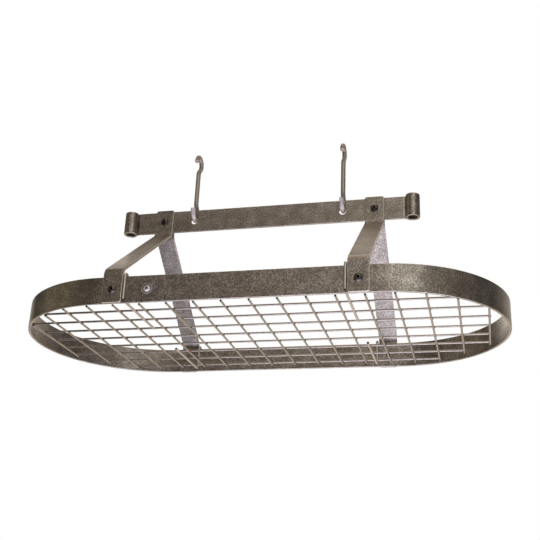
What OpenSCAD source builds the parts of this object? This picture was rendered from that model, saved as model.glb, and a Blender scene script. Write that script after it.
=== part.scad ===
// Oval hanging pot rack of flat steel bar, in millimetres, +Z up.
// X runs along the rack, Y from its front to its back.
// The origin lies midway between the two hanger hooks, where they bear on the ceiling fixings.

/* [Oval band] */
// Length of the oval band over its outside
rack_length = 942; // [760:2:1200]
// Width of the oval band over its outside, which is also the diameter of its round ends
rack_width = 444; // [380:2:560]
// Height of the flat bar that the band is bent from
band_height = 50.8; // [38:0.1:64]
// Thickness of the band
band_thick = 4.8; // [3:0.1:6.4]

/* [Top bar] */
// Height of the flat top bar
bar_height = 48.5; // [38:0.1:64]
// Thickness of the top bar
bar_thick = 4.8; // [3:0.1:6.4]
// Clear height from the band's top edge to the bar's lower edge
bar_rise = 186.5; // [140:0.5:260]
// Inside diameter of the rolled eye at each end of the bar
eye_bore = 19; // [12:0.5:26]
// Distance from a strap's middle to the eye's middle, along the bar
eye_reach = 75.5; // [60:0.5:120]
// How far the eye's middle lies in front of the bar's middle plane
eye_forward = 3; // [0:0.5:6]
// Radius of the bar's middle line where it bends back before the eye
neck_radius = 15; // [12:0.5:20]
// Part of a full turn that the eye is rolled through, in degrees
eye_wrap = 319; // [300:1:320]
// Diameter of the hole that a hanger passes through
hanger_hole = 14.5; // [12:0.5:18]
// Distance from a strap's middle to the hanger hole, towards the rack's middle
hanger_inset = 64.5; // [45:0.5:90]

/* [Straps] */
// Width of the flat straps
strap_width = 38.1; // [25:0.1:44]
// Thickness of the straps
strap_thick = 4.8; // [3:0.1:6.4]
// Inside radius of the strap's two bends
strap_bend = 16; // [6:0.5:18]
// Height above the band's top edge where the strap starts to lean inward
strap_stand = 2.5; // [0.5:0.5:20]
// Height below the bar's lower edge where the strap stands up again, under 0 where it is above that edge
strap_tuck = -1.5; // [-6:0.5:15]
// Height of the strap's foot above the band's lower edge
strap_foot = 0; // [-3:0.5:10]
// How far the strap's head stands over the bar's top edge
strap_head = 1.6; // [0:0.1:5]
// Radius of the strap's four corners
strap_corner = 4; // [1:0.5:8]

/* [Wire grid] */
// Diameter of the grid's wires
wire = 4; // [3:0.1:5]
// Distance between neighbouring wires, both ways
mesh_pitch = 50.8; // [40:0.2:60]
// Depth that crossing wires sink into each other at a weld
weld_bite = 0.5; // [0.2:0.1:0.6]
// Length of a wire that stands out past its last weld
stub = 2.5; // [2:0.5:6]
// Least distance from the first cross wire to the band, at each end of the oval
end_space = 30; // [24:1:60]
// Distance from the cross wires' ends to the band, at the front and the back
side_space = 17.2; // [12:0.2:30]
// Least distance along a cross wire from its front end to the band
front_space = 9.6; // [4:0.2:30]
// Least clearance between a wire's end and the band
wire_gap = 0.4; // [0.3:0.1:2]
// Height of the cross wires' middle above the band's lower edge
grid_lift = 4.9; // [4:0.1:12]

/* [Grid hooks] */
// Diameter of the thicker wire of the four hooks that hang the grid on the band
hook_wire = 4.8; // [4:0.1:6]
// Clearance between a hook and the band
hook_gap = 0.3; // [0.2:0.1:1]
// Middle-line radius of the hook's bend from the grid up the band
hook_bend = 7; // [5:0.5:12]
// Clearance between a hook and the strap beside it
hook_beside = 1.1; // [0.6:0.1:4]
// Distance from the middle of a grid opening to the hook that crosses it
hook_offset = 4.75; // [0:0.25:10]
// Height of the hook's outer end above the band's lower edge
hook_end = 6; // [2:0.5:20]
// Distance from the band to the inner end of the hook's arm, which is welded under the long wires
hook_arm = 152; // [120:1:170]

/* [Hangers] */
// Diameter of the round rod of the two hangers
rod = 9.5; // [6:0.5:11]
// Middle-line radius of the hanger's bends
rod_bend = 14.25; // [13:0.25:18]
// Distance between the middles of the hanger's two hooks
hanger_drop = 120; // [80:1:260]
// Angle at which the rod leans from behind each hook to the hanger's plumb middle line, in degrees
neck_lean = 40; // [30:1:55]
// Angle at which the tip of each hook opens to the front, in degrees
tip_lean = 25; // [0:1:35]
// Length of the lower hook's straight tip
lower_tip = 14; // [6:0.5:20]
// Length of the upper hook's straight tip
upper_tip = 10; // [6:0.5:20]
// Clearance between the hanger and the upper edge of the bar's hole
seat_gap = 0.3; // [0.2:0.1:0.5]

/* [Screws] */
// Diameter of the screws that hold the straps
screw = 7.9; // [6:0.1:8]
// Diameter of their domed heads
screw_head = 16; // [13:0.5:18]
// Height of their domed heads
screw_dome = 4.6; // [3.5:0.1:6]
// Width across the flats of their sockets
screw_socket = 5; // [4:0.5:6]
// Clearance all round a screw in a plain hole
screw_gap = 0.2; // [0.1:0.05:0.5]
// Clearance all round a screw in a threaded hole
thread_gap = 0.05; // [0.02:0.01:0.1]
// Width across the flats of the nuts behind the bar
nut_width = 12.7; // [12:0.1:14]
// Height of those nuts
nut_height = 6.8; // [5:0.1:8]
// Length of a screw that stands out of its nut
screw_over = 1.5; // [0.5:0.5:4]
// Distance from the front left strap's middle to the bright screw in the band
bright_inset = 65; // [56:0.5:80]
// Diameter of the bright screw
bright_screw = 6; // [5:0.1:6]
// Diameter of the bright screw's head
bright_head = 13.4; // [11:0.1:15]
// Height of the bright screw's head
bright_dome = 3.4; // [3:0.1:5]
// Diameter of the washer under the bright screw
washer_width = 20.5; // [16:0.5:24]
// Thickness of that washer
washer_thick = 1; // [0.6:0.1:2]

/* [Hidden] */
$fn = 64;
SIDES = [["front_left", -1, -1], ["front_right", 1, -1], ["back_left", -1, 1], ["back_right", 1, 1]];

// Heights, from the ceiling fixings down
upper_hook_z = -(rod_bend - rod / 2);
lower_hook_z = upper_hook_z - hanger_drop;
seat_radius = rod_bend - rod / 2;
hole_top_z = lower_hook_z - sqrt(pow(seat_radius, 2) - pow(bar_thick / 2, 2)) + seat_gap;
bar_mid_z = hole_top_z - hanger_hole / 2;
bar_low_z = bar_mid_z - bar_height / 2;
bar_top_z = bar_mid_z + bar_height / 2;
band_top_z = bar_low_z - bar_rise;
band_low_z = band_top_z - band_height;
band_mid_z = band_low_z + band_height / 2;
cross_z = band_low_z + grid_lift;
long_z = cross_z + wire - weld_bite;
hook_z = long_z - wire / 2 - hook_wire / 2 + weld_bite;

// Depths, from the middle plane of the bar to the front
half_width = rack_width / 2;
inner_y = half_width - band_thick;
strap_foot_y = half_width + strap_thick / 2;
strap_head_y = bar_thick / 2 + strap_thick / 2;

// Places along the rack
straight_half = (rack_length - rack_width) / 2;
inner_x = rack_length / 2 - band_thick;
cross_count = floor(2 * (inner_x - end_space) / mesh_pitch) + 1;
hook_to_strap_edge = hook_wire / 2 + hook_beside + strap_width;
// The openings of the grid lie a whole number of pitches from the rack's middle, or half a pitch more
opening_shift = (cross_count % 2) / 2;
openings_out = floor((straight_half + hook_offset - hook_to_strap_edge) / mesh_pitch - opening_shift);
hook_x = (openings_out + opening_shift) * mesh_pitch - hook_offset;
strap_x = hook_x + hook_to_strap_edge - strap_width / 2;
hanger_x = strap_x - hanger_inset;
eye_x = strap_x + eye_reach;
bright_x = -(strap_x - bright_inset);

// The hanger's necks, from the end of a hook's bend to the middle line, and up to the straight shank
neck_run = rod_bend * (2 * cos(neck_lean) - 1) / sin(neck_lean);
neck_height = 2 * rod_bend * sin(neck_lean) + neck_run * cos(neck_lean);
// Each straight run reaches this far into the bends at its ends
run_in = 0.2;
// A bend is thicker than the straight runs beside it by this much, where the rod has swelled
bend_swell = 0.1;

// The grid, whose wires end where the oval leaves no room for a weld
cross_end = inner_y - side_space;
long_count = floor((2 * cross_end - 2 * stub) / mesh_pitch) + 1;
weld_room = norm([stub, wire / 2]) + wire_gap;
// Cross wires are counted from an end of the oval towards its middle, long wires from front to back
function cross_x(k) = ((cross_count + 1) / 2 - k) * mesh_pitch;
function long_y(k) = cross_end - stub - (long_count - k) * mesh_pitch;
function past_straight(x) = max(0, abs(x) - straight_half);
function welded(long, cross) = norm([past_straight(cross_x(cross)), long_y(long)]) < inner_y - weld_room;
function first_cross(long) = min([for (k = [1:cross_count / 2]) if (welded(long, k)) k]);
function first_long(cross) = min([for (k = [1:long_count]) if (welded(k, cross)) k]);
function last_long(cross) = max([for (k = [1:long_count]) if (welded(k, cross)) k]);
// Half the clear width inside the band, over the breadth of a wire across the rack
function half_room(x) = sqrt(pow(inner_y, 2) - pow(past_straight(abs(x) + wire / 2), 2));
function cross_front(k) =
    min(long_y(first_long(k)) - stub, -min(cross_end, half_room(cross_x(k)) - front_space));
function cross_back(k) = long_y(last_long(k)) + stub;

// The rolled eye
eye_mid_radius = (eye_bore + bar_thick) / 2;
neck_angle = acos((neck_radius + eye_forward) / (neck_radius + eye_mid_radius));
neck_x = eye_x - (neck_radius + eye_mid_radius) * sin(neck_angle);
eye_open = 360 - eye_wrap;

// Points on an arc, from one angle to another
function arc(middle, radius, from, to, steps = 12) =
    [for (i = [0:steps])
        let (angle = from + (to - from) * i / steps)
            middle + radius * [cos(angle), sin(angle)]];

// A flat oval with straight sides and round ends
module oval(length, width) {
    square([length - width, width], center = true);
    for (side = [-1, 1])
        translate([side * (length - width) / 2, 0])
            circle(d = width, $fn = 180);
}

// A flat plate with rounded corners, standing in the XZ plane from height low to height high
module rounded_plate(width, low, high, corner, depth) {
    height = high - low;
    translate([0, 0, low + height / 2])
        rotate([90, 0, 0])
            linear_extrude(depth, center = true) {
                square([width - 2 * corner, height], center = true);
                square([width, height - 2 * corner], center = true);
                for (x = [-1, 1], z = [-1, 1])
                    translate([x * (width / 2 - corner), z * (height / 2 - corner)])
                        circle(r = corner, $fn = 32);
            }
}

// A drilled hole along Y
module hole_y(x, y, z, diameter, depth) {
    translate([x, y, z])
        rotate([90, 0, 0])
            cylinder(d = diameter, h = depth, center = true);
}

// A round rod along Y
module rod_y(x, from, to, z, diameter) {
    translate([x, from, z])
        rotate([-90, 0, 0])
            cylinder(d = diameter, h = to - from, $fn = 32);
}

// A round rod along Z
module rod_z(y, from, to, diameter) {
    translate([0, y, from])
        cylinder(d = diameter, h = to - from, $fn = 32);
}

// A round rod in the YZ plane that leans from +Z towards +Y, with its ends measured from y and z
module leaning_rod(y, z, lean, from, to, diameter) {
    translate([0, y, z])
        rotate([-lean, 0, 0])
            translate([0, 0, from])
                cylinder(d = diameter, h = to - from, $fn = 32);
}

// A round rod bent in the YZ plane about a middle, with its angles counted from +Y towards +Z
module bent_rod(y, z, radius, from, sweep, diameter) {
    translate([0, y, z])
        rotate([90, 0, 90])
            rotate([0, 0, from])
                rotate_extrude(angle = sweep, $fn = 96)
                    translate([radius, 0])
                        circle(d = diameter, $fn = 32);
}

// A domed screw with a hexagon socket: its head seats at z = 0 and its shank runs down
module domed_screw(head, dome, shank, socket, length) {
    rim = 0.6;
    rise = dome - rim;
    ball = (pow(head / 2, 2) + pow(rise, 2)) / (2 * rise);
    difference() {
        intersection() {
            cylinder(d = head, h = dome);
            translate([0, 0, dome - ball])
                sphere(r = ball, $fn = 96);
        }
        translate([0, 0, dome / 2])
            cylinder(d = socket / cos(30), h = dome, $fn = 6);
    }
    translate([0, 0, -length])
        cylinder(d = shank, h = length);
}

// The oval band that the pots hang from
module band() {
    color([0.36, 0.33, 0.30])
        difference() {
            translate([0, 0, band_low_z])
                linear_extrude(band_height)
                    difference() {
                        oval(rack_length, rack_width);
                        oval(rack_length - 2 * band_thick, rack_width - 2 * band_thick);
                    }
            for (x = [-1, 1], y = [-1, 1])
                hole_y(x * strap_x, y * half_width, band_mid_z, screw + 2 * thread_gap, 4 * band_thick);
            hole_y(bright_x, -half_width, band_mid_z, bright_screw + 2 * thread_gap, 4 * band_thick);
        }
}

// The right half of the top bar from above: straight bar, neck and rolled eye
module bar_outline() {
    translate([0, -bar_thick / 2])
        square([neck_x, bar_thick]);
    difference() {
        translate([neck_x, neck_radius])
            circle(r = neck_radius + bar_thick / 2);
        translate([neck_x, neck_radius])
            circle(r = neck_radius - bar_thick / 2);
        translate([neck_x, neck_radius])
            rotate(neck_angle)
                polygon([[0, 0], [0, -3 * neck_radius], [3 * neck_radius, -3 * neck_radius],
                    [3 * neck_radius, 3 * neck_radius], [0, 3 * neck_radius]]);
        translate([neck_x - 3 * neck_radius, -neck_radius])
            square([3 * neck_radius, 4 * neck_radius]);
    }
    difference() {
        translate([eye_x, -eye_forward])
            circle(d = eye_bore + 2 * bar_thick);
        translate([eye_x, -eye_forward])
            circle(d = eye_bore);
        translate([eye_x, -eye_forward])
            rotate(90 + neck_angle)
                polygon(concat([[0, 0]], arc([0, 0], 3 * eye_bore, 0, eye_open, 4)));
    }
}

// The flat bar over the rack, with a rolled eye at each end
module top_bar() {
    color([0.38, 0.35, 0.32])
        difference() {
            translate([0, 0, bar_low_z])
                linear_extrude(bar_height) {
                    bar_outline();
                    mirror([1, 0, 0])
                        bar_outline();
                }
            for (x = [-1, 1]) {
                hole_y(x * hanger_x, 0, bar_mid_z, hanger_hole, 4 * bar_thick);
                hole_y(x * strap_x, 0, bar_mid_z, screw + 2 * screw_gap, 4 * bar_thick);
            }
        }
}

// A strap's side view for the front of the rack, in Y and Z: upright, then bent to lean along the
// straight line that touches both bends, and bent upright again
module strap_outline() {
    half = strap_thick / 2;
    radius = strap_bend + half;
    low_middle = [radius - strap_foot_y, band_top_z + strap_stand];
    high_middle = [-strap_head_y - radius, bar_low_z - strap_tuck];
    apart = high_middle - low_middle;
    lean = atan2(apart[0], apart[1]) + asin(2 * radius / norm(apart));
    to_front = 180;
    foot = band_low_z + strap_foot;
    head = bar_top_z + strap_head;
    polygon(concat(
        [[-strap_foot_y - half, foot]],
        arc(low_middle, radius + half, to_front, to_front - lean),
        arc(high_middle, radius - half, -lean, 0),
        [[-strap_head_y - half, head], [-strap_head_y + half, head]],
        arc(high_middle, radius + half, 0, -lean),
        arc(low_middle, radius - half, to_front - lean, to_front),
        [[-strap_foot_y + half, foot]]));
}

// A flat strap from the band's outer face up to the bar
module strap(x, y) {
    color([0.40, 0.37, 0.33])
        translate([x * strap_x, 0, 0])
            on_side(y)
                difference() {
                    intersection() {
                        rotate([90, 0, 90])
                            linear_extrude(strap_width, center = true)
                                strap_outline();
                        rounded_plate(strap_width, band_low_z + strap_foot, bar_top_z + strap_head,
                            strap_corner, 2 * rack_width);
                    }
                    hole_y(0, -strap_foot_y, band_mid_z, screw + 2 * screw_gap, 3 * strap_thick);
                    hole_y(0, -strap_head_y, bar_mid_z, screw + 2 * screw_gap, 3 * strap_thick);
                }
}

// What is drawn for the front is turned over to the back where side is 1
module on_side(side) {
    mirror([0, side > 0 ? 1 : 0, 0])
        children();
}

// The four screws that hold the straps' feet, threaded into the band
module strap_foot_screws() {
    color([0.10, 0.10, 0.10])
        for (x = [-1, 1], y = [-1, 1])
            on_side(y)
                translate([x * strap_x, -half_width - strap_thick, band_mid_z])
                    rotate([90, 0, 0])
                        domed_screw(screw_head, screw_dome, screw, screw_socket, strap_thick + band_thick);
}

// The two screws that pass through both straps and the bar
module strap_head_screws() {
    grip = bar_thick + 2 * strap_thick;
    color([0.10, 0.10, 0.10])
        for (x = [-1, 1])
            translate([x * strap_x, -grip / 2, bar_mid_z])
                rotate([90, 0, 0])
                    domed_screw(screw_head, screw_dome, screw, screw_socket, grip + nut_height + screw_over);
}

// The hexagon nuts on those screws, behind the back straps
module strap_head_nuts() {
    color([0.10, 0.10, 0.10])
        for (x = [-1, 1])
            translate([x * strap_x, bar_thick / 2 + strap_thick, bar_mid_z])
                rotate([-90, 0, 0])
                    difference() {
                        cylinder(d = nut_width / cos(30), h = nut_height, $fn = 6);
                        translate([0, 0, -nut_height])
                            cylinder(d = screw + 2 * thread_gap, h = 3 * nut_height);
                    }
}

// The bright screw in the front of the band
module bright_screw() {
    color([0.80, 0.79, 0.77])
        translate([bright_x, -half_width - washer_thick, band_mid_z])
            rotate([90, 0, 0])
                domed_screw(bright_head, bright_dome, bright_screw, screw_socket, washer_thick + band_thick);
}

// The thin washer under the bright screw
module bright_screw_washer() {
    color([0.45, 0.43, 0.40])
        translate([bright_x, -half_width, band_mid_z])
            rotate([90, 0, 0])
                difference() {
                    cylinder(d = washer_width, h = washer_thick);
                    translate([0, 0, -washer_thick])
                        cylinder(d = bright_screw + 2 * screw_gap, h = 3 * washer_thick);
                }
}

// A wire along the rack, welded on top of the cross wires
module long_wire(k) {
    reach = cross_x(first_cross(k)) + stub;
    color([0.62, 0.58, 0.53])
        translate([-reach, long_y(k), long_z])
            rotate([0, 90, 0])
                cylinder(d = wire, h = 2 * reach, $fn = 32);
}

// A wire across the rack, under the long wires
module cross_wire(x, k) {
    color([0.66, 0.62, 0.57])
        rod_y(x * cross_x(k), cross_front(k), cross_back(k), cross_z, wire);
}

// A hook of thicker wire, welded under the long wires: along the grid, up the band's inner
// face, over its top edge and down its outer face
module grid_hook(x, y) {
    band_y = -(half_width - band_thick / 2);
    turn = band_thick / 2 + hook_gap + hook_wire / 2;
    inner_leg_y = band_y + turn;
    color([0.56, 0.52, 0.47])
        translate([x * hook_x, 0, 0])
            on_side(y) {
                rod_y(0, inner_leg_y + hook_bend, hook_arm - inner_y, hook_z, hook_wire);
                bent_rod(inner_leg_y + hook_bend, hook_z + hook_bend, hook_bend, 180, 90, hook_wire);
                rod_z(inner_leg_y, hook_z + hook_bend, band_top_z, hook_wire);
                bent_rod(band_y, band_top_z, turn, 0, 180, hook_wire);
                rod_z(band_y - turn, band_low_z + hook_end, band_top_z, hook_wire);
            }
}

// An end of a hanger, about the middle of its hook: the tip, the hook, the neck and the bend above it
module hanger_end(tip) {
    hook_turn = 180 - tip_lean;
    tip_y = -rod_bend * cos(tip_lean);
    tip_z = -rod_bend * sin(tip_lean);
    neck_y = rod_bend * cos(neck_lean);
    neck_z = rod_bend * sin(neck_lean);
    leaning_rod(tip_y, tip_z, -tip_lean, -run_in, tip, rod - bend_swell);
    bent_rod(0, 0, rod_bend, -hook_turn, hook_turn + neck_lean, rod);
    leaning_rod(neck_y, neck_z, -neck_lean, -run_in, neck_run + run_in, rod - bend_swell);
    bent_rod(rod_bend, neck_height, rod_bend, 180, neck_lean, rod);
}

// A hanger of round rod, whose lower hook goes through the bar. Its upper end is the lower one's mirror image
module hanger(x) {
    shank_low = lower_hook_z + neck_height - run_in;
    shank_high = upper_hook_z - neck_height + run_in;
    color([0.42, 0.41, 0.40])
        translate([x * hanger_x, 0, 0]) {
            translate([0, 0, lower_hook_z])
                hanger_end(lower_tip);
            translate([0, 0, upper_hook_z])
                mirror([0, 0, 1])
                    hanger_end(upper_tip);
            rod_z(0, shank_low, shank_high, rod - bend_swell);
        }
}

band();
top_bar();
for (s = SIDES)
    strap(s[1], s[2]);
strap_foot_screws();
strap_head_screws();
strap_head_nuts();
bright_screw();
bright_screw_washer();
for (k = [1:long_count])
    long_wire(k);
for (k = [1:ceil(cross_count / 2)])
    cross_wire(-1, k);
for (k = [1:floor(cross_count / 2)])
    cross_wire(1, k);
for (s = SIDES)
    grid_hook(s[1], s[2]);
hanger(-1);  // hanger_left
hanger(1);  // hanger_right
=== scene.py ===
import math

import bmesh
import bpy
from mathutils import Matrix, Vector


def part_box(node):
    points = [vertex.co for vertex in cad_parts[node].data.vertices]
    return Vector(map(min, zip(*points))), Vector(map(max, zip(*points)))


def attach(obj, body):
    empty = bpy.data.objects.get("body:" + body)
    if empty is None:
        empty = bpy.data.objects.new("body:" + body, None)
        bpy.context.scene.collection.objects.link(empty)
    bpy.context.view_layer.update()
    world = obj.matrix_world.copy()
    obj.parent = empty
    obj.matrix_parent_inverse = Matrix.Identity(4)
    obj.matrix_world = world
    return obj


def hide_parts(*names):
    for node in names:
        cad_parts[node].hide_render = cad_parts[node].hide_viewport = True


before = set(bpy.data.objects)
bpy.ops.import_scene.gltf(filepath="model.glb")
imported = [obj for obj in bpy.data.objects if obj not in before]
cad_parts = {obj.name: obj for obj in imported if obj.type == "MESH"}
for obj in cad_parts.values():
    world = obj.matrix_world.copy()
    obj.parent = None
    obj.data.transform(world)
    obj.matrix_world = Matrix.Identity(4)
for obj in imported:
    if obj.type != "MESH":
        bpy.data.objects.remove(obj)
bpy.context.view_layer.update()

# The oval band: 2 x 3/16 in hot-rolled flat bar with slightly round mill edges, bent the easy way round
# a former and butt-welded into one ring. It is drilled and tapped for the straps' screws and for one
# spare screw, and powder-coated with the straps and the top bar.
MM = 0.001
BAND_THICK = 4.8 * MM
BAND_BEND_STEPS = 64
MILL_EDGE = 1.2 * MM
TAPPED_HOLE = 8.0 * MM
SPARE_HOLE = 6.1 * MM
HOLE_STEPS = 36
SMOOTH_BELOW = math.radians(40)
JOIN_WITHIN = 0.02 * MM


def linear(code):
    """An sRGB hex colour as linear red, green, blue and a full alpha."""
    parts = [int(code[i : i + 2], 16) / 255 for i in (0, 2, 4)]
    return [c / 12.92 if c <= 0.04045 else ((c + 0.055) / 1.055) ** 2.4 for c in parts] + [1]


def add_node(tree, kind, inputs, **settings):
    """Adds a shader node, gives it its settings, and fills in or links its inputs."""
    node = tree.nodes.new(kind)
    for name, value in settings.items():
        setattr(node, name, value)
    for name, value in inputs.items():
        if isinstance(value, bpy.types.NodeSocket):
            tree.links.new(value, node.inputs[name])
        else:
            node.inputs[name].default_value = value
    return node


def blank_material(name):
    """A new material and its empty node tree."""
    material = bpy.data.materials.new(name)
    material.use_nodes = True
    material.node_tree.nodes.clear()
    return material, material.node_tree


def hammered_coat(name, dark, middle, pale, metallic, relief, roughness):
    """Hammered powder coat on steel: metal flake in an olive-brown film that draws into small rounded
    grains. It gives the eye soft pale flecks 2 to 4 mm apart on a darker ground, under a broad sheen."""
    grain = 2.6 * MM
    coat, tree = blank_material(name)
    place = add_node(tree, "ShaderNodeTexCoord", {}).outputs["Object"]
    flecks = add_node(
        tree, "ShaderNodeTexNoise", {"Vector": place, "Scale": 1 / grain, "Detail": 2, "Roughness": 0.6}
    )
    clouds = add_node(tree, "ShaderNodeTexNoise", {"Vector": place, "Scale": 1 / (9 * grain), "Detail": 2})
    mixed = add_node(
        tree,
        "ShaderNodeMath",
        {0: clouds.outputs["Fac"], 1: 0.35, 2: flecks.outputs["Fac"]},
        operation="MULTIPLY_ADD",
    )
    tone = add_node(tree, "ShaderNodeValToRGB", {"Fac": mixed.outputs[0]})
    stops = tone.color_ramp.elements
    stops[0].position, stops[0].color = 0.48, linear(dark)
    stops[1].position, stops[1].color = 0.88, linear(pale)
    stops.new(0.68).color = linear(middle)
    sheen = add_node(
        tree,
        "ShaderNodeMapRange",
        {0: flecks.outputs["Fac"], 1: 0.3, 2: 0.7, 3: roughness + 0.06, 4: roughness - 0.06},
    )
    bump = add_node(tree, "ShaderNodeBump", {"Height": flecks.outputs["Fac"], "Distance": relief})
    skin = add_node(
        tree,
        "ShaderNodeBsdfPrincipled",
        {
            "Base Color": tone.outputs["Color"],
            "Metallic": metallic,
            "Roughness": sheen.outputs[0],
            "Normal": bump.outputs["Normal"],
            "Coat Weight": 1.0,
            "Coat Roughness": 0.35,
        },
    )
    add_node(tree, "ShaderNodeOutputMaterial", {"Surface": skin.outputs[0]})
    return coat


# On the faces the coat is full and grained. Over the round mill edges it is painted paler and smoother,
# as a painted highlight along each edge.
face_coat = hammered_coat("hammered powder coat", "5b5143", "827665", "b5aa99", 0.8, 0.16 * MM, 0.42)
edge_painted_highlight = hammered_coat(
    "powder coat painted pale along an edge as a highlight", "938876", "aa9d8a", "c2b6a4", 0.85, 0.05 * MM, 0.36
)
SKIN, EDGE = 0, 1


def rectangle(bm, width, height, place):
    """A rectangular face of that width and height, put in its place by a matrix."""
    corners = bmesh.ops.create_grid(bm, x_segments=1, y_segments=1, size=0.5)["verts"]
    bmesh.ops.scale(bm, vec=(width, height, 1), verts=corners)
    bmesh.ops.transform(bm, matrix=place, verts=corners)
    return corners[0].link_faces[0]


def drilled_plate(bm, x, z, y, holes, round_corners=None):
    """A flat plate across Y. x, z and y are its limits, and holes are (x, z, diameter). round_corners
    gives the radius of the corners at its top or bottom, and which of the two."""
    others = set(bm.edges)
    face_on = Matrix.Rotation(math.pi / 2, 4, "X")
    centre = Matrix.Translation(((x[0] + x[1]) / 2, y[0], (z[0] + z[1]) / 2))
    face = rectangle(bm, x[1] - x[0], z[1] - z[0], centre @ face_on)
    if round_corners:
        radius, end = round_corners
        bmesh.ops.bevel(
            bm,
            geom=[corner for corner in face.verts if abs(corner.co.z - z[end]) < MM],
            offset=radius,
            offset_type="OFFSET",
            segments=8,
            profile=0.5,
            affect="VERTICES",
            material=-1,
        )
    outline = [edge for edge in bm.edges if edge not in others]
    blank = {face for edge in outline for face in edge.link_faces}
    bmesh.ops.delete(bm, geom=list(blank), context="FACES_ONLY")
    for hole_x, hole_z, diameter in holes:
        bmesh.ops.create_circle(
            bm,
            segments=HOLE_STEPS,
            radius=diameter / 2,
            matrix=Matrix.Translation((hole_x, y[0], hole_z)) @ face_on,
        )
    outline = [edge for edge in bm.edges if edge not in others]
    made = bmesh.ops.triangle_fill(bm, use_beauty=True, edges=outline, normal=(0, -1, 0))["geom"]
    faces = [part for part in made if isinstance(part, bmesh.types.BMFace)]
    made = bmesh.ops.extrude_face_region(bm, geom=faces)["geom"]
    far = [part for part in made if isinstance(part, bmesh.types.BMVert)]
    bmesh.ops.translate(bm, vec=(0, y[1] - y[0], 0), verts=far)


def furthest(bm, direction):
    """The face that lies furthest out in a direction."""
    return max(bm.faces, key=lambda face: face.calc_center_median().dot(Vector(direction)))


def run(bm, face, step):
    """Draws a face straight on by a step, and gives the face at the new end."""
    made = bmesh.ops.extrude_face_region(bm, geom=[face])["geom"]
    bmesh.ops.translate(bm, vec=step, verts=[part for part in made if isinstance(part, bmesh.types.BMVert)])
    return next(part for part in made if isinstance(part, bmesh.types.BMFace))


def bend(bm, face, centre, axis, angle, steps):
    """Draws a face round a bend, and gives the face at the new end."""
    made = bmesh.ops.spin(
        bm, geom=[face, *face.edges, *face.verts], cent=centre, axis=axis, angle=angle, steps=steps
    )["geom_last"]
    return next(part for part in made if isinstance(part, bmesh.types.BMFace))


def join_ends(bm, *ends):
    """Takes away the faces at ends that meet, and joins their corners."""
    bmesh.ops.delete(bm, geom=list(ends), context="FACES_ONLY")
    bmesh.ops.remove_doubles(bm, verts=bm.verts, dist=JOIN_WITHIN)


def ease_edges(bm, radius, segments=3, material=SKIN):
    """Rounds each sharp edge. The round faces take the given material. The bevel isn't clamped:
    clamping shrank it to a tenth of a millimetre on the straps."""
    bmesh.ops.recalc_face_normals(bm, faces=bm.faces)
    sharp = [edge for edge in bm.edges if edge.is_manifold and edge.calc_face_angle() > SMOOTH_BELOW]
    made = bmesh.ops.bevel(
        bm,
        geom=sharp,
        offset=radius,
        offset_type="OFFSET",
        segments=segments,
        profile=0.5,
        affect="EDGES",
        material=-1,
        clamp_overlap=False,
    )
    for face in made["faces"]:
        face.material_index = material


def make_piece(name, bm, materials, body, slot, *nodes):
    """Turns a bmesh into a piece that rides on a body and stands for its CAD nodes."""
    mesh = bpy.data.meshes.new(name)
    for face in bm.faces:
        face.smooth = True
    bm.to_mesh(mesh)
    bm.free()
    mesh.set_sharp_from_angle(angle=SMOOTH_BELOW)
    for material in materials:
        mesh.materials.append(material)
    piece = bpy.data.objects.new(name, mesh)
    bpy.context.scene.collection.objects.link(piece)
    evening = piece.modifiers.new("even shading", "WEIGHTED_NORMAL")
    evening.keep_sharp = True
    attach(piece, body)
    if nodes:
        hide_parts(*nodes)
    return piece


band_low, band_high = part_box("band")
half_width = band_high.y
straight_half = band_high.x - half_width
band_z = (band_low.z, band_high.z)
band_mid_z = sum(band_z) / 2
strap_x = sum(corner.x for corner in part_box("strap_front_right")) / 2
spare_x = sum(corner.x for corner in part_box("bright_screw")) / 2

bm = bmesh.new()
strap_holes = [(side * strap_x, band_mid_z, TAPPED_HOLE) for side in (-1, 1)]
spare_hole = (spare_x, band_mid_z, SPARE_HOLE)
straight = (-straight_half, straight_half)
drilled_plate(bm, straight, band_z, (-half_width, BAND_THICK - half_width), [*strap_holes, spare_hole])
right_start = furthest(bm, (1, 0, 0))
left_start = furthest(bm, (-1, 0, 0))
right_end = bend(bm, right_start, (straight_half, 0, 0), (0, 0, 1), math.pi, BAND_BEND_STEPS)
left_end = bend(bm, left_start, (-straight_half, 0, 0), (0, 0, 1), -math.pi, BAND_BEND_STEPS)
old_faces = set(bm.faces)
drilled_plate(bm, straight, band_z, (half_width - BAND_THICK, half_width), strap_holes)
back_ends = [
    face
    for face in bm.faces
    if face not in old_faces and abs(abs(face.calc_center_median().x) - straight_half) < MM
]
join_ends(bm, right_end, left_end, *back_ends)
ease_edges(bm, MILL_EDGE, material=EDGE)
make_piece("oval_band", bm, [face_coat, edge_painted_highlight], "rack", "hammered_coat", "band")

# The four straps: lengths of 1 1/2 x 3/16 in flat bar with rounded corners, each pressed through two
# bends so that it stands on the band, leans inward and stands again at the top bar. The front two
# have a paler painted highlight along their edges.
STRAP_THICK = 4.8 * MM
STRAP_CORNER = 4 * MM
STRAP_BEND = 16 * MM + STRAP_THICK / 2
STRAP_STAND = 2.5 * MM
STRAP_TUCK = -1.5 * MM
STRAP_HOLE = 8.3 * MM
STRAP_BEND_STEPS = 14
BOTTOM, TOP = 0, 1

# A painted highlight: a dull pale film that outlines the front straps' edges with a light line.
front_edge_painted_highlight = hammered_coat(
    "powder coat rubbed pale on a strap's edge", "c3b398", "d3c4a9", "e2d4bb", 0.45, 0.05 * MM, 0.42
)

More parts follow.
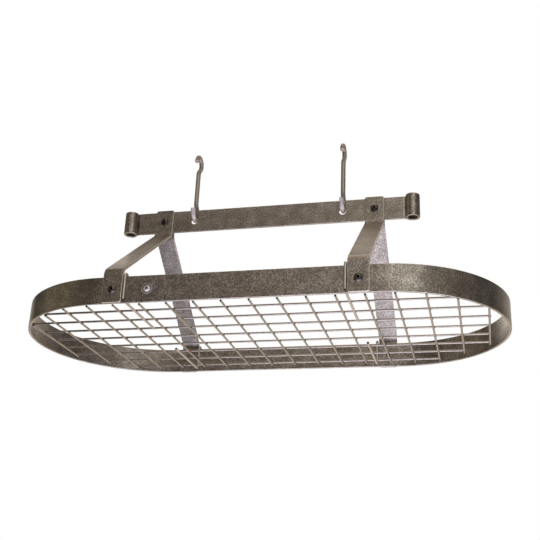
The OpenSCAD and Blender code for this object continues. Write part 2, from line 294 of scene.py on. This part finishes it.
bar_low, bar_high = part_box("top_bar")
bar_mid_z = (bar_low.z + bar_high.z) / 2
for end, side_x in (("left", -1), ("right", 1)):
    for side, turn in (("front", 1), ("back", -1)):
        node = f"strap_{side}_{end}"
        low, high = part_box(node)
        out_y, in_y = (low.y, high.y) if turn > 0 else (-high.y, -low.y)
        x = (low.x, high.x)
        bend_low = Vector((0, out_y + STRAP_THICK / 2 + STRAP_BEND, band_high.z + STRAP_STAND))
        bend_high = Vector((0, in_y - STRAP_THICK / 2 - STRAP_BEND, bar_low.z - STRAP_TUCK))
        apart = bend_high - bend_low
        lean = math.atan2(apart.y, apart.z) + math.asin(2 * STRAP_BEND / apart.length)
        reach = math.sqrt(apart.length_squared - 4 * STRAP_BEND**2)
        bm = bmesh.new()
        drilled_plate(
            bm,
            x,
            (low.z, bend_low.z),
            (out_y, out_y + STRAP_THICK),
            [(side_x * strap_x, band_mid_z, STRAP_HOLE)],
            (STRAP_CORNER, BOTTOM),
        )
        end_face = bend(bm, furthest(bm, (0, 0, 1)), bend_low, (1, 0, 0), -lean, STRAP_BEND_STEPS)
        end_face = run(bm, end_face, (0, reach * math.sin(lean), reach * math.cos(lean)))
        end_face = bend(bm, end_face, bend_high, (1, 0, 0), lean, STRAP_BEND_STEPS)
        old_faces = set(bm.faces)
        drilled_plate(
            bm,
            x,
            (bend_high.z, high.z),
            (in_y - STRAP_THICK, in_y),
            [(side_x * strap_x, bar_mid_z, STRAP_HOLE)],
            (STRAP_CORNER, TOP),
        )
        head_start = min(
            (face for face in bm.faces if face not in old_faces), key=lambda f: f.calc_center_median().z
        )
        join_ends(bm, end_face, head_start)
        bmesh.ops.scale(bm, vec=(1, turn, 1), verts=bm.verts)
        ease_edges(bm, MILL_EDGE, material=EDGE)
        # The edges take a painted highlight, paler on the front straps.
        strap_edge_highlight = front_edge_painted_highlight if turn > 0 else edge_painted_highlight
        make_piece(f"{side}_{end}_strap", bm, [face_coat, strap_edge_highlight], "rack", "hammered_coat", node)

# The top bar: flat bar as thick as the band's and slightly less tall, drilled for the hangers and the
# straps' screws. Each end is set back through a neck and rolled cold round a mandrel into an upright
# eye that stays open.
BAR_THICK = 4.8 * MM
EYE_BORE = 19 * MM
EYE_WRAP = math.radians(319)
EYE_FORWARD = 3 * MM
NECK_RADIUS = 15 * MM
HANGER_HOLE = 14.5 * MM
NECK_STEPS = 8
EYE_STEPS = 56

hanger_x = sum(corner.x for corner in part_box("hanger_right")) / 2
eye_radius = (EYE_BORE + BAR_THICK) / 2
eye_x = bar_high.x - EYE_BORE / 2 - BAR_THICK
neck_turn = math.acos((NECK_RADIUS + EYE_FORWARD) / (NECK_RADIUS + eye_radius))
neck_x = eye_x - (NECK_RADIUS + eye_radius) * math.sin(neck_turn)

bm = bmesh.new()
drilled_plate(
    bm,
    (-neck_x, neck_x),
    (bar_low.z, bar_high.z),
    (-BAR_THICK / 2, BAR_THICK / 2),
    [
        (side * x, bar_mid_z, diameter)
        for side in (-1, 1)
        for x, diameter in ((hanger_x, HANGER_HOLE), (strap_x, STRAP_HOLE))
    ],
)
for side in (-1, 1):
    stop = furthest(bm, (side, 0, 0))
    neck_end = bend(bm, stop, (side * neck_x, NECK_RADIUS, 0), (0, 0, side), neck_turn, NECK_STEPS)
    bend(bm, neck_end, (side * eye_x, -EYE_FORWARD, 0), (0, 0, side), -EYE_WRAP, EYE_STEPS)
ease_edges(bm, MILL_EDGE, material=EDGE)
make_piece("eyed_top_bar", bm, [face_coat, edge_painted_highlight], "rack", "hammered_coat", "top_bar")

# Six button-head socket screws of blackened steel. Four hold the straps' feet and are tapped into
# the band, and two pass through a pair of strap heads with the bar between them.
SCREW_SHANK = 7.9 * MM
SCREW_HEAD = 16 * MM
SCREW_DOME = 4.6 * MM
SCREW_RIM = 0.6 * MM
SCREW_SOCKET = 5 * MM
THREAD_DEPTH = 0.5 * MM
THREAD_PITCH = 1.25 * MM
TURN_STEPS = 24
DOME_STEPS = 8
THREAD_RINGS = 3
MOUTH_SHARE = 1.12
MOUTH_DROP = 0.15 * MM
SPUN_DOUBLES = 0.001 * MM
SCREW_EASE = 0.15 * MM
SOCKET = 1


def steel(name, base, metallic, roughness, scratch, relief):
    """Bare, blackened or plated steel. Faint rolling and handling marks change its gloss from place to
    place, so that the eye sees broken glints instead of a clean mirror."""
    metal, tree = blank_material(name)
    place = add_node(tree, "ShaderNodeTexCoord", {}).outputs["Object"]
    marks = add_node(tree, "ShaderNodeTexNoise", {"Vector": place, "Scale": 1 / scratch, "Detail": 4})
    gloss = add_node(
        tree,
        "ShaderNodeMapRange",
        {0: marks.outputs["Fac"], 1: 0.3, 2: 0.7, 3: roughness + 0.12, 4: roughness - 0.08},
    )
    tone = add_node(tree, "ShaderNodeValToRGB", {"Fac": marks.outputs["Fac"]})
    stops = tone.color_ramp.elements
    stops[0].position, stops[0].color = 0.3, [0.72 * c for c in linear(base)[:3]] + [1]
    stops[1].position, stops[1].color = 0.7, linear(base)
    bump = add_node(tree, "ShaderNodeBump", {"Height": marks.outputs["Fac"], "Distance": relief})
    skin = add_node(
        tree,
        "ShaderNodeBsdfPrincipled",
        {
            "Base Color": tone.outputs["Color"],
            "Metallic": metallic,
            "Roughness": gloss.outputs[0],
            "Normal": bump.outputs["Normal"],
        },
    )
    add_node(tree, "ShaderNodeOutputMaterial", {"Surface": skin.outputs[0]})
    return metal


# The heads are near black with soft brown glints. The socket's floor and walls are painted darker still, as
# painted shade.
black_oxide = steel("black oxide on screw steel", "69625a", 1, 0.36, 1.2 * MM, 0.02 * MM)
socket_painted_shade = steel("black oxide painted darker in a socket as shade", "1d1b18", 1, 0.5, 1.2 * MM, 0.02 * MM)


def button_screw(head, dome, shank, length):
    """A domed screw with a hexagon socket, as a bmesh. Its head seats at height 0 and its shank runs
    down, with thread rings near its tip."""
    rise = dome - SCREW_RIM
    ball = ((head / 2) ** 2 + rise**2) / (2 * rise)
    socket = SCREW_SOCKET / math.sqrt(3)
    mouth = MOUTH_SHARE * socket
    core = shank / 2 - THREAD_DEPTH
    outline = [(0, -length), (core, -length)]
    for turn in range(THREAD_RINGS):
        crest = THREAD_PITCH * (turn + 0.5) - length
        outline += [(shank / 2, crest), (core, crest + THREAD_PITCH / 2)]
    outline += [(shank / 2, outline[-1][1] + THREAD_DEPTH), (shank / 2, 0), (head / 2, 0)]
    rim_angle = math.asin(head / 2 / ball)
    mouth_angle = math.asin(mouth / ball)
    for step in range(DOME_STEPS + 1):
        angle = rim_angle + (mouth_angle - rim_angle) * step / DOME_STEPS
        outline.append((ball * math.sin(angle), dome - ball + ball * math.cos(angle)))
    bm = bmesh.new()
    chain = [bm.verts.new((radius, 0, height)) for radius, height in outline]
    chain += [bm.edges.new(pair) for pair in zip(chain, chain[1:])]
    bmesh.ops.spin(bm, geom=chain, axis=(0, 0, 1), angle=2 * math.pi, steps=TURN_STEPS, use_merge=True)
    bmesh.ops.remove_doubles(bm, verts=bm.verts, dist=SPUN_DOUBLES)
    top = outline[-1][1]
    rim = [edge for edge in bm.edges if edge.is_boundary]
    old_edges = set(bm.edges)
    mouth_place = Matrix.Translation((0, 0, top - MOUTH_DROP))
    bmesh.ops.create_circle(bm, segments=6, radius=socket, matrix=mouth_place)
    sides = [edge for edge in bm.edges if edge not in old_edges]
    bmesh.ops.subdivide_edges(bm, edges=sides, cuts=TURN_STEPS // 6 - 1)
    sides = [edge for edge in bm.edges if edge not in old_edges]
    bmesh.ops.bridge_loops(bm, edges=rim + sides)
    wall = bmesh.ops.extrude_edge_only(bm, edges=sides)["geom"]
    floor_corners = [part for part in wall if isinstance(part, bmesh.types.BMVert)]
    bmesh.ops.translate(bm, vec=(0, 0, SCREW_RIM - top), verts=floor_corners)
    floor_edges = [part for part in wall if isinstance(part, bmesh.types.BMEdge) and part.is_boundary]
    bmesh.ops.edgeloop_fill(bm, edges=floor_edges)
    # The socket's floor and walls take the second material, painted darker as shade.
    for face in {face for corner in floor_corners for face in corner.link_faces}:
        face.material_index = SOCKET
    ease_edges(bm, SCREW_EASE, segments=2)
    return bm


def facing(x, y, z, side):
    """Puts what is made along +Z at a place, pointing to the front for -1 and to the back for 1."""
    return Matrix.Translation((x, y, z)) @ Matrix.Rotation(-side * math.pi / 2, 4, "X")


def copies(pattern, places):
    """A bmesh with a copy of the pattern at each place."""
    mesh = bpy.data.meshes.new("pattern")
    pattern.to_mesh(mesh)
    pattern.free()
    bm = bmesh.new()
    for place in places:
        count = len(bm.verts)
        bm.from_mesh(mesh)
        bm.verts.ensure_lookup_table()
        bmesh.ops.transform(bm, matrix=place, verts=bm.verts[count:])
    bpy.data.meshes.remove(mesh)
    return bm


strap_face = half_width + STRAP_THICK
seats = [facing(x, side * strap_face, band_mid_z, side) for x in (-strap_x, strap_x) for side in (-1, 1)]
bm = copies(button_screw(SCREW_HEAD, SCREW_DOME, SCREW_SHANK, STRAP_THICK + BAND_THICK), seats)
make_piece("foot_button_screws", bm, [black_oxide, socket_painted_shade], "rack", "black_screws", "strap_foot_screws")

head_screw_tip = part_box("strap_head_screws")[1].y
grip_front = BAR_THICK / 2 + STRAP_THICK
seats = [facing(x, -grip_front, bar_mid_z, -1) for x in (-strap_x, strap_x)]
bm = copies(button_screw(SCREW_HEAD, SCREW_DOME, SCREW_SHANK, head_screw_tip + grip_front), seats)
make_piece("head_button_screws", bm, [black_oxide, socket_painted_shade], "rack", "black_screws", "strap_head_screws")

# Two hexagon nuts of blackened steel on the long screws, behind the straps. Their corners are
# turned off at 30 degrees on both faces, as is common.
NUT_WIDTH = 12.7 * MM
NUT_FACE = 12.0 * MM
NUT_BORE = 8.0 * MM
NUT_STEPS = 8

nut_low, nut_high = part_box("strap_head_nuts")
nut_height = nut_high.y - nut_low.y
nut_corner = NUT_WIDTH / math.sqrt(3)
bm = bmesh.new()
rings = []
for height, radius, segments in (
    (0, NUT_BORE / 2, 6 * NUT_STEPS),
    (0, NUT_FACE / 2, 6 * NUT_STEPS),
    (0, nut_corner, 6),
    (nut_height, nut_corner, 6),
    (nut_height, NUT_FACE / 2, 6 * NUT_STEPS),
    (nut_height, NUT_BORE / 2, 6 * NUT_STEPS),
):
    old_edges = set(bm.edges)
    level = Matrix.Translation((0, 0, height)) @ Matrix.Rotation(math.pi / 2, 4, "Z")
    bmesh.ops.create_circle(bm, segments=segments, radius=radius, matrix=level)
    ring = [edge for edge in bm.edges if edge not in old_edges]
    if segments == 6:
        bmesh.ops.subdivide_edges(bm, edges=ring, cuts=NUT_STEPS - 1)
        ring = [edge for edge in bm.edges if edge not in old_edges]
        inward = 1 if height == 0 else -1
        for corner in {v for edge in ring for v in edge.verts}:
            reach = corner.co.to_2d().length - NUT_FACE / 2
            corner.co.z += inward * reach * math.tan(math.radians(30))
    rings.append(ring)
for inner, outer in zip(rings, [*rings[1:], rings[0]]):
    bmesh.ops.bridge_loops(bm, edges=inner + outer)
bmesh.ops.recalc_face_normals(bm, faces=bm.faces)
bm = copies(bm, [facing(x, nut_low.y, bar_mid_z, 1) for x in (-strap_x, strap_x)])
make_piece("hexagon_nuts", bm, [black_oxide], "rack", "black_screws", "strap_head_nuts")

# One spare screw of the same kind in bright zinc, turned into the band on a thin plain washer. The
# washer is plated too, and duller, with a chalky rim that shows as a faint pale ring.
SPARE_HEAD = 13.4 * MM
SPARE_DOME = 3.4 * MM
SPARE_SHANK = 6 * MM
WASHER_BORE = 6.4 * MM
WASHER_RIM = 1.4 * MM
WASHER_EASE = 0.2 * MM
WASHER_STEPS = 48
RIM = 1

# The screw is the one bright spot on the band. Its washer is grey beside it, but for the chalky rim.
bright_zinc = steel("bright zinc plate", "fff4e0", 0.3, 0.45, 1.5 * MM, 0.02 * MM)
dull_zinc_and_socket_shade = steel("dulled zinc plate and painted socket shade", "7d766b", 0.5, 0.45, 1.5 * MM, 0.02 * MM)
chalky_zinc = steel("zinc gone chalky at a rim", "d9cfc0", 0.2, 0.6, 1.5 * MM, 0.02 * MM)

washer_low, washer_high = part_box("bright_screw_washer")
washer_thick = washer_high.y - washer_low.y
washer_width = washer_high.x - washer_low.x
seat = facing(spare_x, washer_low.y, band_mid_z, -1)
bm = copies(button_screw(SPARE_HEAD, SPARE_DOME, SPARE_SHANK, washer_thick + BAND_THICK), [seat])
# The socket takes the dull zinc, painted darker there as shade; the washer wears it as its own grey.
make_piece("spare_button_screw", bm, [bright_zinc, dull_zinc_and_socket_shade], "rack", "bright_screw", "bright_screw")

bm = bmesh.new()
rings = []
for radius in (WASHER_BORE / 2, washer_width / 2 - WASHER_RIM, washer_width / 2):
    corners = bmesh.ops.create_circle(bm, segments=WASHER_STEPS, radius=radius)["verts"]
    rings.append({edge for corner in corners for edge in corner.link_edges})
for inner, outer in zip(rings, rings[1:]):
    bmesh.ops.bridge_loops(bm, edges=[*inner, *outer])
for face in bm.faces:
    if face.calc_center_median().length > washer_width / 2 - WASHER_RIM:
        face.material_index = RIM
made = bmesh.ops.extrude_face_region(bm, geom=bm.faces[:])["geom"]
far = [part for part in made if isinstance(part, bmesh.types.BMVert)]
bmesh.ops.translate(bm, vec=(0, 0, washer_thick), verts=far)
bmesh.ops.transform(bm, matrix=facing(spare_x, washer_high.y, band_mid_z, -1), verts=bm.verts)
ease_edges(bm, WASHER_EASE, segments=2, material=RIM)
make_piece("plain_washer", bm, [dull_zinc_and_socket_shade, chalky_zinc], "rack", "washer", "bright_screw_washer")

# The grid: 4 mm drawn wire, cut to length on a shear and cross-welded by resistance, the wires along
# the rack on top. The whole is coated after welding, and the sheared tips are painted dark as shade.
WIRE_STEPS = 16
WIRE_EASE = 0.35 * MM
DUST_SIZE = 7 * MM
CUT = 1


def coated_wire(name, base, metallic, roughness):
    """Thin powder coat on drawn wire. It is smooth and fairly glossy, so a wire shows the eye a pale
    line on its lit side and a dark one on the other, with slight dulling where dust has settled."""
    coat, tree = blank_material(name)
    place = add_node(tree, "ShaderNodeTexCoord", {}).outputs["Object"]
    dust = add_node(tree, "ShaderNodeTexNoise", {"Vector": place, "Scale": 1 / DUST_SIZE, "Detail": 3})
    tone = add_node(tree, "ShaderNodeValToRGB", {"Fac": dust.outputs["Fac"]})
    stops = tone.color_ramp.elements
    stops[0].position, stops[0].color = 0.3, [0.8 * c for c in linear(base)[:3]] + [1]
    stops[1].position, stops[1].color = 0.7, linear(base)
    dulling = add_node(
        tree,
        "ShaderNodeMapRange",
        {0: dust.outputs["Fac"], 1: 0.3, 2: 0.7, 3: roughness - 0.05, 4: roughness + 0.08},
    )
    skin = add_node(
        tree,
        "ShaderNodeBsdfPrincipled",
        {"Base Color": tone.outputs["Color"], "Metallic": metallic, "Roughness": dulling.outputs[0]},
    )
    add_node(tree, "ShaderNodeOutputMaterial", {"Surface": skin.outputs[0]})
    return coat


# The wires are mid brown with a pale line of light. The weld beads are darker, partly from the thick coat
# over a weld and partly as painted shade where the wires cross. The sheared ends are painted near black as
# shade.
wire_coat = coated_wire("powder coat on drawn wire", "aba090", 0.8, 0.32)
weld_coat_and_shade = coated_wire("powder coat over a weld, darkened as painted shade", "4c433b", 0.8, 0.5)
tip_painted_shade = steel("wire end painted near black as shade", "3a322b", 1, 0.5, 0.6 * MM, 0.05 * MM)


def round_bar(bm, diameter, steps, place):
    """A round face, for drawing wire or rod from, put in its place by a matrix."""
    ring = bmesh.ops.create_circle(bm, cap_ends=True, segments=steps, radius=diameter / 2, matrix=place)
    return ring["verts"][0].link_faces[0]


def mark_tips(bm, start, end):
    """Eases the two cut ends of a wire and gives them their own material, painted dark as shade."""
    rims = [edge for edge in bm.edges if edge.calc_face_angle(0) > SMOOTH_BELOW]
    for tip in (start, end):
        tip.material_index = CUT
    bmesh.ops.bevel(
        bm,
        geom=rims,
        offset=WIRE_EASE,
        offset_type="OFFSET",
        segments=2,
        profile=0.5,
        affect="EDGES",
        material=-1,
    )
    bmesh.ops.recalc_face_normals(bm, faces=bm.faces)


def grid_wire(name, node, axis, heading):
    """A straight wire that fills its CAD node's box from end to end. It gives that box."""
    low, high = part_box(node)
    start = (low + high) / 2
    start[axis] = low[axis]
    step = Vector((0, 0, 0))
    step[axis] = high[axis] - low[axis]
    bm = bmesh.new()
    first = round_bar(bm, high.z - low.z, WIRE_STEPS, Matrix.Translation(start) @ heading)
    last = run(bm, first, step)
    mark_tips(bm, first, last)
    make_piece(name, bm, [wire_coat, tip_painted_shade], "grid", "coated_wire", node)
    return low, high


ALONG_X = Matrix.Rotation(math.pi / 2, 4, "Y")
ALONG_Y = Matrix.Rotation(-math.pi / 2, 4, "X")
nodes = sorted(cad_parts)
long_boxes = [
    grid_wire(node.replace("long_wire", "wire_along"), node, 0, ALONG_X)
    for node in nodes
    if node.startswith("long_wire")
]
cross_boxes = [
    grid_wire(node.replace("cross_wire", "wire_across"), node, 1, ALONG_Y)
    for node in nodes
    if node.startswith("cross_wire")
]

# The welds: where two wires cross, the current has melted them half a millimetre into each other and
# squeezed out a small flat bead, which the coat covers more thickly. It is darker than the wires, partly
# from that coat and partly as painted shade where the wires cross.
BEAD_REACH = 3.1 * MM
BEAD_RISE = 1.25 * MM

bm = bmesh.new()
for long_low, long_high in long_boxes:
    for cross_low, cross_high in cross_boxes:
        x = (cross_low.x + cross_high.x) / 2
        y = (long_low.y + long_high.y) / 2
        if long_low.x < x < long_high.x and cross_low.y < y < cross_high.y:
            z = (long_low.z + cross_high.z) / 2
            flattened = Matrix.Diagonal((BEAD_REACH, BEAD_REACH, BEAD_RISE, 1))
            shape = Matrix.Translation((x, y, z)) @ flattened
            bmesh.ops.create_icosphere(bm, subdivisions=2, radius=1, matrix=shape)
make_piece("weld_beads", bm, [weld_coat_and_shade], "grid", "coated_wire")

# The four grid hooks: 4.8 mm wire, bent up the band's inner face, over its edge and down outside. The
# front two are welded under two of the long wires and the back two under three. The grid hangs in the
# band on them and lifts out.
HOOK_BEND = 7 * MM
HOOK_GAP = 0.3 * MM
HOOK_END = 6 * MM
HOOK_STEPS = 20
HOOK_BEND_STEPS = 8
HOOK_ARCH_STEPS = 16

# The grid's wire coat painted paler, as painted light on the hooks' legs, so they stand out in front
# of the band.
hook_coat_painted_light = coated_wire("powder coat on the hooks' wire, painted paler as light", "cfc3b1", 0.8, 0.36)

for end in ("left", "right"):
    for side, turn in (("front", 1), ("back", -1)):
        node = f"grid_hook_{side}_{end}"
        low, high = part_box(node)
        hook_wire = high.x - low.x
        arm_end = high.y if turn > 0 else -low.y
        arch = (BAND_THICK + hook_wire) / 2 + HOOK_GAP
        arch_y = BAND_THICK / 2 - half_width
        leg_y = arch_y + arch
        arm_z = low.z + hook_wire / 2
        place = Matrix.Translation(((low.x + high.x) / 2, arm_end, arm_z))
        bm = bmesh.new()
        first = round_bar(bm, hook_wire, HOOK_STEPS, place @ ALONG_Y)
        last = run(bm, first, (0, leg_y + HOOK_BEND - arm_end, 0))
        elbow = (0, leg_y + HOOK_BEND, arm_z + HOOK_BEND)
        last = bend(bm, last, elbow, (1, 0, 0), -math.pi / 2, HOOK_BEND_STEPS)
        last = run(bm, last, (0, 0, band_high.z - arm_z - HOOK_BEND))
        last = bend(bm, last, (0, arch_y, band_high.z), (1, 0, 0), math.pi, HOOK_ARCH_STEPS)
        last = run(bm, last, (0, 0, band_low.z + HOOK_END - band_high.z))
        bmesh.ops.scale(bm, vec=(1, turn, 1), verts=bm.verts)
        mark_tips(bm, first, last)
        make_piece(f"{side}_{end}_grid_hook", bm, [hook_coat_painted_light, tip_painted_shade], "grid", "coated_wire", node)

# The two hangers: 9.5 mm round rod, coated like the wire and bent cold into a hook at each end. A neck
# leads the rod from behind each hook back to the plumb line through both, and the hooks open forward.
# Only the lower hooks are seen, and the upper ones are guessed from them.
ROD_BEND = 14.25 * MM
ROD_LOWER_TIP = 14 * MM
ROD_UPPER_TIP = 10 * MM
ROD_TIP_LEAN = math.radians(25)
ROD_NECK_LEAN = math.radians(40)
ROD_NECK_RUN = ROD_BEND * (2 * math.cos(ROD_NECK_LEAN) - 1) / math.sin(ROD_NECK_LEAN)
ROD_NECK = 2 * ROD_BEND * math.sin(ROD_NECK_LEAN) + ROD_NECK_RUN * math.cos(ROD_NECK_LEAN)
ROD_DROP = 120 * MM
ROD_STEPS = 28
ROD_HOOK_STEPS = 24
ROD_NECK_STEPS = 8
ROD_EASE = 0.8 * MM
LIT_TIP_DEPTH = 15 * MM
LIT_TIP_HEIGHT = 2 * ROD_LOWER_TIP
LIT_TIP_FRONT = 0.55
LIT_TIP = 1

# The rod is a soft brown with a dull sheen. The front of each lower tip is painted almost white, as a painted
# reflection of the light from below.
rod_coat = coated_wire("powder coat on bent rod", "cdbca6", 0.5, 0.5)
tip_painted_light = coated_wire("rod coat painted near white as light on a hook's tip", "fff0e0", 0.0, 0.5)


def leaning(angle, length):
    """A step of that length, leaning from +Z towards +Y."""
    return Vector((0, length * math.sin(angle), length * math.cos(angle)))


for end in ("left", "right"):
    node = f"hanger_{end}"
    low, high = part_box(node)
    rod = high.x - low.x
    x = (low.x + high.x) / 2
    upper_hook = Vector((x, 0, high.z - rod / 2 - ROD_BEND))
    lower_hook = upper_hook - Vector((0, 0, ROD_DROP))
    tip = leaning(-ROD_TIP_LEAN, ROD_LOWER_TIP)
    tip_root = lower_hook - leaning(math.pi / 2 - ROD_TIP_LEAN, ROD_BEND)
    place = Matrix.Translation(tip_root + tip) @ Matrix.Rotation(ROD_TIP_LEAN, 4, "X")
    hook_turn = math.pi - ROD_TIP_LEAN + ROD_NECK_LEAN
    lower_neck = lower_hook + Vector((0, ROD_BEND, ROD_NECK))
    upper_neck = upper_hook + Vector((0, ROD_BEND, -ROD_NECK))
    bm = bmesh.new()
    last = run(bm, round_bar(bm, rod, ROD_STEPS, place), -tip)
    last = bend(bm, last, lower_hook, (1, 0, 0), hook_turn, ROD_HOOK_STEPS)
    last = run(bm, last, leaning(-ROD_NECK_LEAN, ROD_NECK_RUN))
    last = bend(bm, last, lower_neck, (1, 0, 0), -ROD_NECK_LEAN, ROD_NECK_STEPS)
    last = run(bm, last, upper_neck - lower_neck)
    last = bend(bm, last, upper_neck, (1, 0, 0), -ROD_NECK_LEAN, ROD_NECK_STEPS)
    last = run(bm, last, leaning(ROD_NECK_LEAN, ROD_NECK_RUN))
    last = bend(bm, last, upper_hook, (1, 0, 0), hook_turn, ROD_HOOK_STEPS)
    run(bm, last, -leaning(ROD_TIP_LEAN, ROD_UPPER_TIP))
    ease_edges(bm, ROD_EASE)
    # The front of each lower tip, around the hook's bend, takes the painted light.
    for face in bm.faces:
        from_hook = face.calc_center_median() - lower_hook
        if from_hook.y < -LIT_TIP_FRONT * rod and -LIT_TIP_DEPTH < from_hook.z < LIT_TIP_HEIGHT:
            face.material_index = LIT_TIP
    make_piece(f"{end}_ceiling_hanger", bm, [rod_coat, tip_painted_light], "hangers", "hanger_rod", node)

# The studio: a camera below, in front of and to the right of the rack, looking up at it, over a pale
# matt floor. The world is white to the camera, and to gloss a dark room with soft patches of light.
# Two softboxes light the rack, one from the front and one from below.
CAMERA_PLACE = (0.41890, -1.59937, -0.93900)
CAMERA_HEADING, CAMERA_TILT, CAMERA_ROLL = (math.radians(angle) for angle in (14.32, 22.21, 2.59))
CAMERA_LENS = 59.35
CAMERA_SENSOR = 36
FLOOR_Z = -1.3
FLOOR_RADIUS = 30.0
FLOOR_STEPS = 96
FLOOR_GLOW = 0.78
BACK_GLOW = 0.85
BACK_GLOW_FROM, BACK_GLOW_TO = 0.2, 1.6
RACK_MIDDLE = (0, 0, -0.28)


def studio_world():
    """White to the camera. To gloss it is a dark room with broad soft patches of light on its walls.
    Each is given by its azimuth from the front towards the right, its height, its reach, all in
    degrees, its strength and its colour."""
    world = bpy.data.worlds.new("studio")
    bpy.context.scene.world = world
    world.use_nodes = True
    tree = world.node_tree
    tree.nodes.clear()
    direction = add_node(tree, "ShaderNodeTexCoord", {}).outputs["Generated"]
    room = add_node(tree, "ShaderNodeBackground", {"Strength": 0.0})
    for azimuth, height, reach, strength, colour in (
        (8, 35, 39, 0.98, "fff6f3"),
        (1, 74, 31, 0.8, "fff4ea"),
        (-73, 19, 36, 0.43, "fff4d5"),
        (-150, 12, 29, 1.1, "fff6e8"),
        (56, 19, 50, 0.33, "fff6ee"),
        (174, 47, 50, 1.0, "fff1e2"),
        (180, 80, 37, 0.45, "fff1e2"),
    ):
        turn, rise = math.radians(azimuth), math.radians(height)
        middle = (math.sin(turn) * math.cos(rise), -math.cos(turn) * math.cos(rise), math.sin(rise))
        nearness = add_node(tree, "ShaderNodeVectorMath", {0: direction, 1: middle}, operation="DOT_PRODUCT")
        patch = add_node(
            tree,
            "ShaderNodeMapRange",
            {0: nearness.outputs["Value"], 1: math.cos(math.radians(reach)), 2: 1.0, 3: 0.0, 4: strength},
            interpolation_type="SMOOTHSTEP",
        )
        wall = add_node(tree, "ShaderNodeBackground", {"Color": linear(colour), "Strength": patch.outputs[0]})
        room = add_node(tree, "ShaderNodeAddShader", {0: room.outputs[0], 1: wall.outputs[0]})
    dark = add_node(tree, "ShaderNodeBackground", {"Strength": 0.0})
    white = add_node(tree, "ShaderNodeBackground", {"Color": linear("ffffff"), "Strength": 1.0})
    path = add_node(tree, "ShaderNodeLightPath", {})
    lit = add_node(
        tree,
        "ShaderNodeMixShader",
        {0: path.outputs["Is Glossy Ray"], 1: dark.outputs[0], 2: room.outputs[0]},
    )
    shown = add_node(
        tree,
        "ShaderNodeMixShader",
        {0: path.outputs["Is Camera Ray"], 1: lit.outputs[0], 2: white.outputs[0]},
    )
    add_node(tree, "ShaderNodeOutputWorld", {"Surface": shown.outputs[0]})


def matt_floor():
    """Matt white floor paint. It is lifted for the camera everywhere and for gloss behind the rack, and
    keeps the shadow."""
    paint, tree = blank_material("matt white floor paint")
    coat = add_node(tree, "ShaderNodeBsdfDiffuse", {"Color": linear("e4e4e4")})
    place = add_node(tree, "ShaderNodeTexCoord", {}).outputs["Object"]
    depth = add_node(tree, "ShaderNodeSeparateXYZ", {0: place}).outputs["Y"]
    sheen = add_node(
        tree, "ShaderNodeMapRange", {0: depth, 1: BACK_GLOW_FROM, 2: BACK_GLOW_TO, 3: 0.0, 4: BACK_GLOW}
    )
    for_gloss = add_node(
        tree, "ShaderNodeEmission", {"Color": linear("fff0de"), "Strength": sheen.outputs[0]}
    )
    for_eye = add_node(tree, "ShaderNodeEmission", {"Color": linear("ffffff"), "Strength": FLOOR_GLOW})
    path = add_node(tree, "ShaderNodeLightPath", {})
    gloss = add_node(
        tree, "ShaderNodeMixShader", {0: path.outputs["Is Glossy Ray"], 2: for_gloss.outputs[0]}
    )
    glow = add_node(
        tree,
        "ShaderNodeMixShader",
        {0: path.outputs["Is Camera Ray"], 1: gloss.outputs[0], 2: for_eye.outputs[0]},
    )
    lifted = add_node(tree, "ShaderNodeAddShader", {0: coat.outputs[0], 1: glow.outputs[0]})
    add_node(tree, "ShaderNodeOutputMaterial", {"Surface": lifted.outputs[0]})
    return paint


def softbox(name, place, aim, width, height, power, colour):
    """A soft lamp that looks at the place given as its aim, and doesn't show to the camera."""
    lamp = bpy.data.lights.new(name, "AREA")
    lamp.shape = "RECTANGLE"
    lamp.size, lamp.size_y = width, height
    lamp.energy = power
    lamp.color = linear(colour)[:3]
    box = bpy.data.objects.new(name, lamp)
    box.location = place
    box.rotation_euler = (Vector(aim) - box.location).to_track_quat("-Z", "Y").to_euler()
    box.visible_camera = False
    bpy.context.scene.collection.objects.link(box)


camera = bpy.data.objects.new("camera", bpy.data.cameras.new("camera"))
camera.data.lens = CAMERA_LENS
camera.data.sensor_width = CAMERA_SENSOR
camera.matrix_world = (
    Matrix.Translation(CAMERA_PLACE)
    @ Matrix.Rotation(CAMERA_HEADING, 4, "Z")
    @ Matrix.Rotation(math.pi / 2 + CAMERA_TILT, 4, "X")
    @ Matrix.Rotation(CAMERA_ROLL, 4, "Z")
)
bpy.context.scene.collection.objects.link(camera)
bpy.context.scene.camera = camera
bpy.context.scene.view_settings.view_transform = "Standard"

studio_world()
bm = bmesh.new()
bmesh.ops.create_circle(
    bm,
    cap_ends=True,
    segments=FLOOR_STEPS,
    radius=FLOOR_RADIUS,
    matrix=Matrix.Translation((0, 0, FLOOR_Z)),
)
floor_mesh = bpy.data.meshes.new("floor")
bm.to_mesh(floor_mesh)
bm.free()
floor_mesh.materials.append(matt_floor())
floor = bpy.data.objects.new("floor", floor_mesh)
bpy.context.scene.collection.objects.link(floor)
softbox("key softbox", (1.0, -2.2, 0.75), RACK_MIDDLE, 1.0, 1.3, 8, "eefcff")
softbox("low softbox", (0.42, -0.3, FLOOR_Z + 0.05), (0.42, -0.2, 0), 1.8, 1.4, 30, "e0e3ff")
